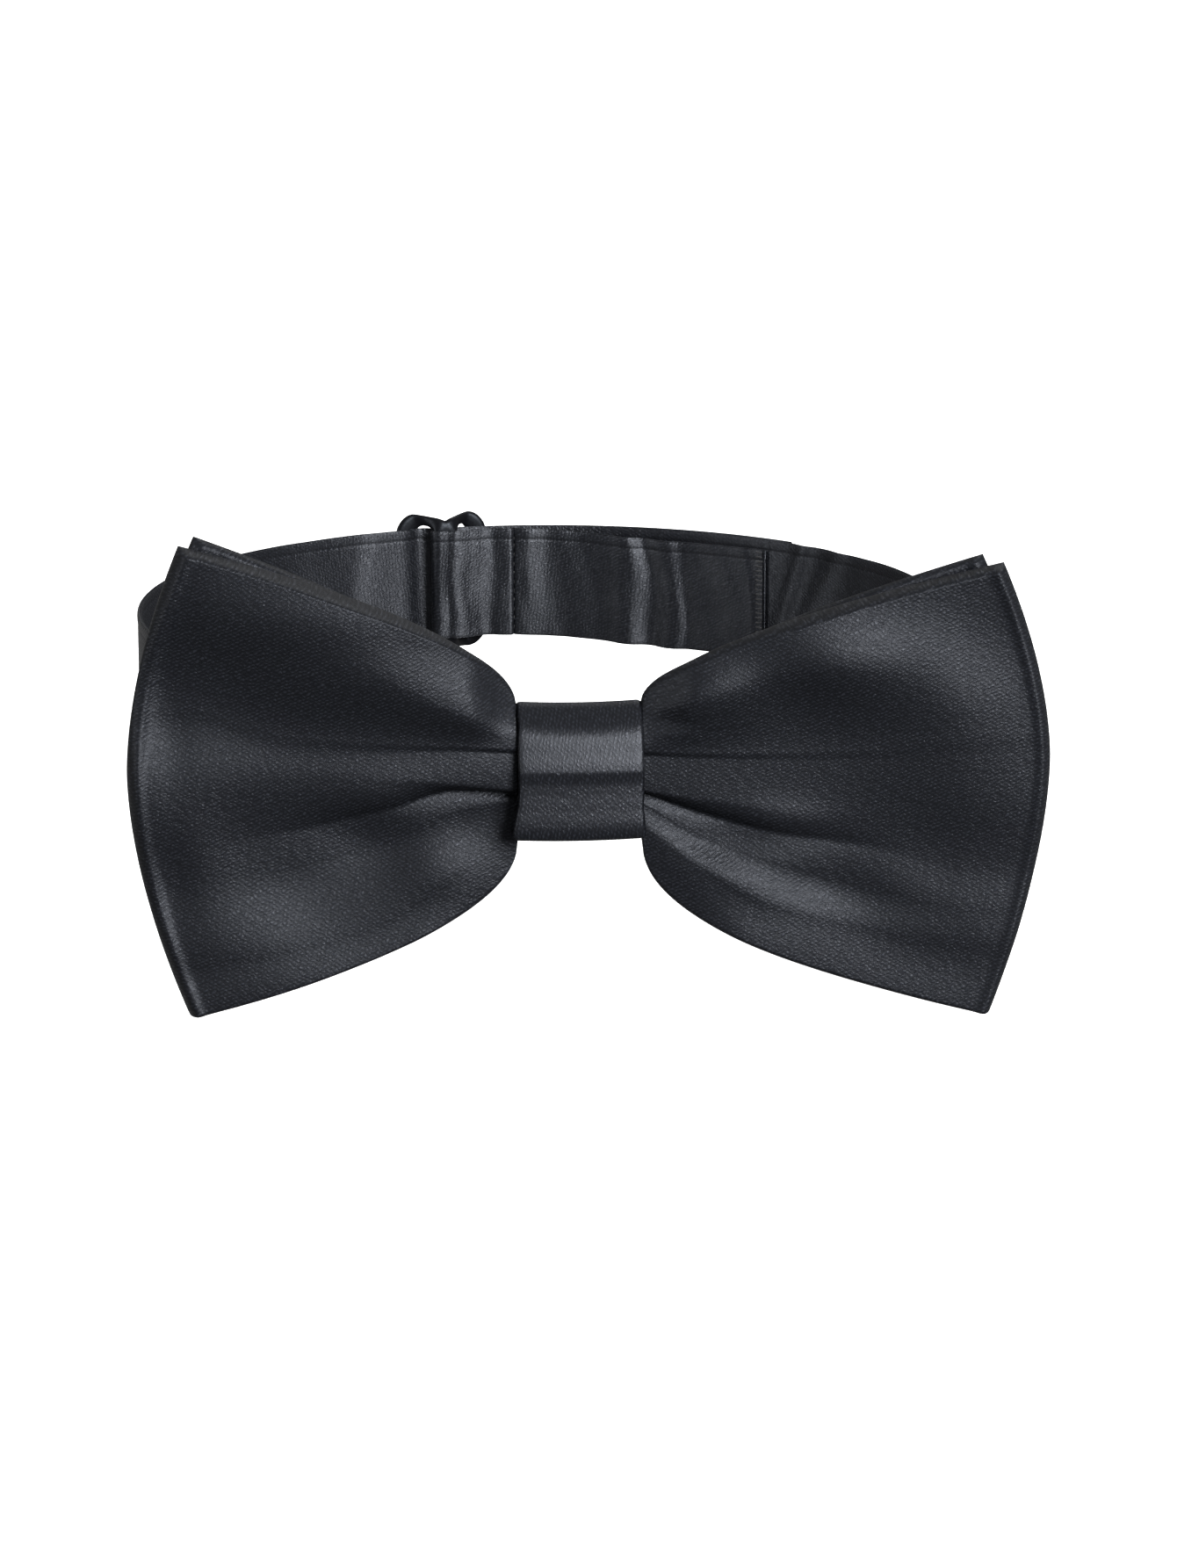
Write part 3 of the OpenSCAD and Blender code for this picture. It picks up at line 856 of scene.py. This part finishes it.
def stitch_row(name, node, body, stitches):
    """A row of threads, one for each (middle, direction, outwards, length), whose ends dip into the cloth."""
    a = np.linspace(0, 2 * math.pi, 8, endpoint=False)
    t = np.linspace(-1, 1, 9)
    rings, around = len(t), len(a)
    points, faces = [], []
    for k, (middle, direction, outwards, length) in enumerate(stitches):
        middle, direction, outwards = (np.asarray(v, float) for v in (middle, direction, outwards))
        across = np.cross(direction, outwards)
        tilt = 0.12 * math.sin(k * 2.4)
        lift = 0.1 - 0.26 * np.abs(t) ** 3
        line = middle + t[:, None] * (direction + tilt * across) * length / 2 + lift[:, None] * outwards
        slim = THREAD_R * (1 - 0.5 * np.abs(t) ** 4)
        ring = np.cos(a)[None, :, None] * across + np.sin(a)[None, :, None] * outwards
        points.append((line[:, None] + ring * slim[:, None, None]).reshape(-1, 3))

    # the sides of all threads, then the two caps of each
    for k in range(len(stitches)):
        faces += [tuple(f) for f in grid_faces(rings, around, closed=True, start=k * rings * around)]
    for k in range(len(stitches)):
        first, last = k * rings * around, (k + 1) * rings * around - around
        faces.append(tuple(range(first, first + around)))
        faces.append(tuple(reversed(range(last, last + around))))
    obj = mesh_object(name, np.concatenate(points), faces, THREAD)
    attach(obj, body)
    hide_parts(node)


def on_strap(bearing, r, z, upright, inward, length):
    """One stitch on the strap: upright or along it, on its inner or its outer face."""
    out = np.append(polar(bearing, 1), 0)
    along = np.array([math.cos(math.radians(bearing)), -math.sin(math.radians(bearing)), 0])
    middle = np.append(polar(bearing, r), z)
    return middle, (0, 0, 1) if upright else along, -out if inward else out, length


FLAP_FACE = FLAP_R - HALF_T
stitch_row("bar_tack_thread", "bar_tack", "slide",
           [on_strap(TACK_BEARING, FLAP_FACE, i * 1.4 + 0.4, True, True, 1.1) for i in range(-5, 6)])
stitch_row("overlock_thread", "end_overlock", "slide",
           [on_strap(FLAP_END - 0.8, FLAP_FACE, i * 0.72 - 1, False, True, 1.4) for i in range(-11, 12)])
stitch_row("tail_hem_thread", "tail_hem_stitches", "neck_band",
           [on_strap(TAIL_END - 3, RUN_R + HALF_T, i * 1.7 + 0.5, True, False, 1.3) for i in range(-4, 5)])
stitch_row("seam_thread", "strap_seam_stitches", "neck_band",
           [on_strap(180, LOOP_R + HALF_T, i * 1.7, False, False, 2.4) for i in range(-4, 5)])
stitch_row("knot_thread", "knot_stitches", "bow",
           [((0, -KNOT_BACK, i * 1.7), (1, 0, 0), (0, 1, 0), 2.0) for i in range(-4, 5)])
stitch_row("keeper_thread", "keeper_stitches", "bow",
           [((x, -KNOT_BACK, z), (0, 0, 1), (0, 1, 0), 1.2) for x in (-3.2, 3.2) for z in (-7, -3.5, 3.5, 7)])

# the tacks inside the knot keep their CAD shape
for place in bpy.data.objects["centre_tack"].material_slots:
    place.material = THREAD

# ---------------------------------------------------------------- camera, floor and lights

CAMERA_AZIMUTH = math.radians(-4.64)
CAMERA_ELEVATION = math.radians(13.92)
SENSOR = 36
# in metres, and the height of the view is at the knot's front
CAMERA_DISTANCE = 0.7
VIEW_HEIGHT = 0.2047
# in millimetres: how far right of and below the knot's front the view's middle is, and the floor's height
AIM_RIGHT = 0.9
AIM_DOWN = 1.65
FLOOR_Z = -36.0

towards = Vector((
    math.sin(CAMERA_AZIMUTH) * math.cos(CAMERA_ELEVATION),
    -math.cos(CAMERA_AZIMUTH) * math.cos(CAMERA_ELEVATION),
    math.sin(CAMERA_ELEVATION),
))
right = Vector((math.cos(CAMERA_AZIMUTH), math.sin(CAMERA_AZIMUTH), 0))
above = towards.cross(right)
knot_front = Vector((0, -KNOT_FRONT * MM, 0))
aim = knot_front + right * AIM_RIGHT * MM - above * AIM_DOWN * MM
camera_data = bpy.data.cameras.new("camera")
camera = bpy.data.objects.new("camera", camera_data)
bpy.context.scene.collection.objects.link(camera)
camera.location = aim + towards * CAMERA_DISTANCE
camera.rotation_euler = towards.to_track_quat("Z", "Y").to_euler()
camera_data.sensor_fit = "VERTICAL"
camera_data.sensor_height = SENSOR
camera_data.lens = SENSOR * CAMERA_DISTANCE / VIEW_HEIGHT
camera_data.clip_start = 0.01
camera_data.clip_end = 50
bpy.context.scene.camera = camera


def floor():
    """A wide white floor under the bow, which takes no part in the light on the cloth."""
    size = 6000.0
    corners = [(x, y, FLOOR_Z) for x, y in ((-size, -size), (size, -size), (size, size), (-size, size))]
    obj = mesh_object("studio_floor", corners, [(0, 1, 2, 3)], studio_floor("floor_white"))
    obj.visible_diffuse = False
    obj.visible_glossy = False


def softbox(name, place, look, width, height, power):
    """An area light at place, facing look, in metres and watts."""
    data = bpy.data.lights.new(name, "AREA")
    data.shape = "RECTANGLE"
    data.size, data.size_y, data.energy = width, height, power
    obj = bpy.data.objects.new(name, data)
    bpy.context.scene.collection.objects.link(obj)
    obj.location = place
    obj.rotation_euler = (Vector(place) - Vector(look)).to_track_quat("Z", "Y").to_euler()


floor()
softbox("key", (0.62, -1.05, 0.5), (0, -0.03, 0), 0.6, 0.7, 40)
softbox("fill", (-1.3, -0.35, 0.35), (0, -0.03, 0), 0.3, 0.6, 6)
softbox("rear", (0.5, 0.9, 1.1), (0, 0, 0), 0.9, 0.7, 3)
softbox("rear_left", (-0.8, 0.8, 1.0), (0, 0, 0), 0.5, 0.8, 0.5)

sun_data = bpy.data.lights.new("overhead", "SUN")
sun_data.energy = 0.4
sun_data.angle = math.radians(80)
sun = bpy.data.objects.new("overhead", sun_data)
bpy.context.scene.collection.objects.link(sun)
sun.rotation_euler = (math.radians(10), 0, 0)

world = bpy.data.worlds.new("studio")
world.use_nodes = True
world.node_tree.nodes["Background"].inputs["Color"].default_value = (1, 1, 1, 1)
world.node_tree.nodes["Background"].inputs["Strength"].default_value = 0.22
bpy.context.scene.world = world
bpy.context.scene.view_settings.view_transform = "Standard"
